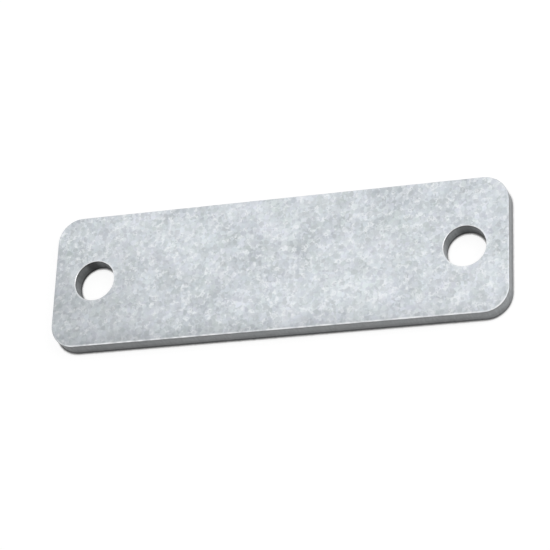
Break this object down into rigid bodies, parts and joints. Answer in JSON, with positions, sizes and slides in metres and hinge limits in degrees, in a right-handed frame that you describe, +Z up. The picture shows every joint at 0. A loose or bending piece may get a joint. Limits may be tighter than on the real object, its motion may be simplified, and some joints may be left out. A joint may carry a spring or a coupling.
{
  "type": "mounting plate",
  "caption": "Flat galvanised steel mounting plate with rounded corners and a through-hole near each end.",
  "frame": {"origin": "centre of the plate's underside", "axes": "+X along the length through both holes, +Y across the width, +Z up out of the top face"},
  "size_m": [0.1, 0.03, 0.004],
  "materials": {
    "galvanised_steel": "hot-dip galvanised: matt grey zinc with a fine mottle, darker on the cut edges and in the holes"
  },
  "bodies": {
    "root": {"plate": "galvanised_steel"}
  },
  "joints": []
}
